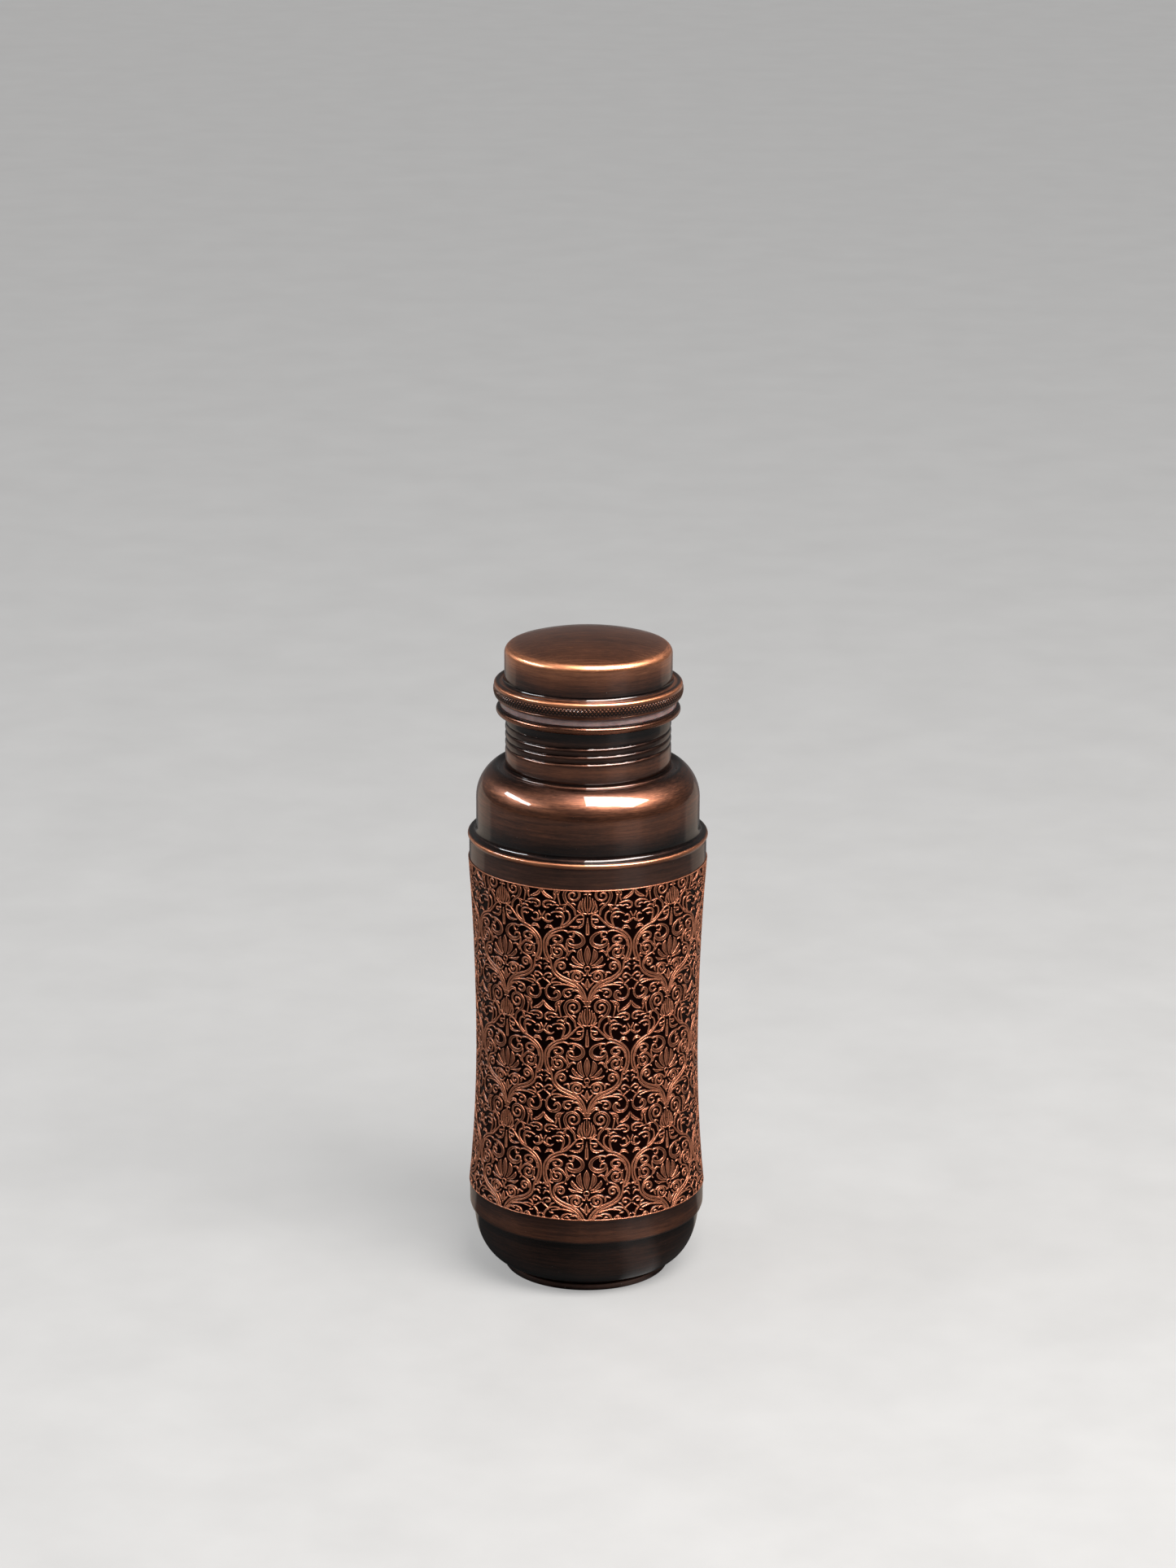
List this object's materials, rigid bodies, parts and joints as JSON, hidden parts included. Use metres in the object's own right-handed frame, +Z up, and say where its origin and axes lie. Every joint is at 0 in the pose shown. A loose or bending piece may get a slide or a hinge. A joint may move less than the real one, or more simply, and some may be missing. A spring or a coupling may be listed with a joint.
{
  "type": "water bottle",
  "caption": "Waisted copper water bottle with an embossed scroll sleeve, plain bands, a rounded shoulder, a short threaded neck and a domed screw cap with a knurled collar.",
  "frame": {"origin": "centre of the foot ring's resting plane", "axes": "+Z up along the bottle's axis; -Y is the front, where one palmette column of the sleeve faces; +X is to the viewer's right"},
  "size_m": [0.08, 0.08, 0.222],
  "materials": {
    "antique_copper": "dark antique patina under clear lacquer",
    "plain_copper": "brown antique copper, brushed, lacquered",
    "embossed_copper": "bright relief on a blackened ground",
    "bright_copper": "bright copper, lightly worn",
    "brushed_copper": "brushed antique copper, lacquered",
    "silicone": "pale translucent silicone"
  },
  "bodies": {
    "bottle": {"foot_ring": "plain_copper", "base_bowl": "antique_copper", "base_band": "plain_copper", "body_shell": "antique_copper", "damask_sleeve": "embossed_copper", "rim_band": "plain_copper", "shoulder_shell": "antique_copper", "neck_tube": "antique_copper", "mouth_lip": "bright_copper"},
    "seal": {"mouth_gasket": "silicone"},
    "cap": {"cap_crown": "brushed_copper", "knurled_collar": "brushed_copper", "cap_plug": "bright_copper", "plug_disc": "bright_copper"}
  },
  "joints": [
    {"name": "cap_lift", "type": "slide", "parent": "bottle", "child": "seal", "axis": [0, 0, 1], "range_m": [0, 0.0185]},
    {"name": "cap_turn", "type": "hinge", "parent": "seal", "child": "cap", "pos_m": [0, 0, 0.2], "axis": [0, 0, 1], "range_deg": [0, 2520]}
  ],
  "couplings": [
    {"joint": "cap_lift", "follows": "cap_turn", "m_per_rad": 0.00042017}
  ]
}
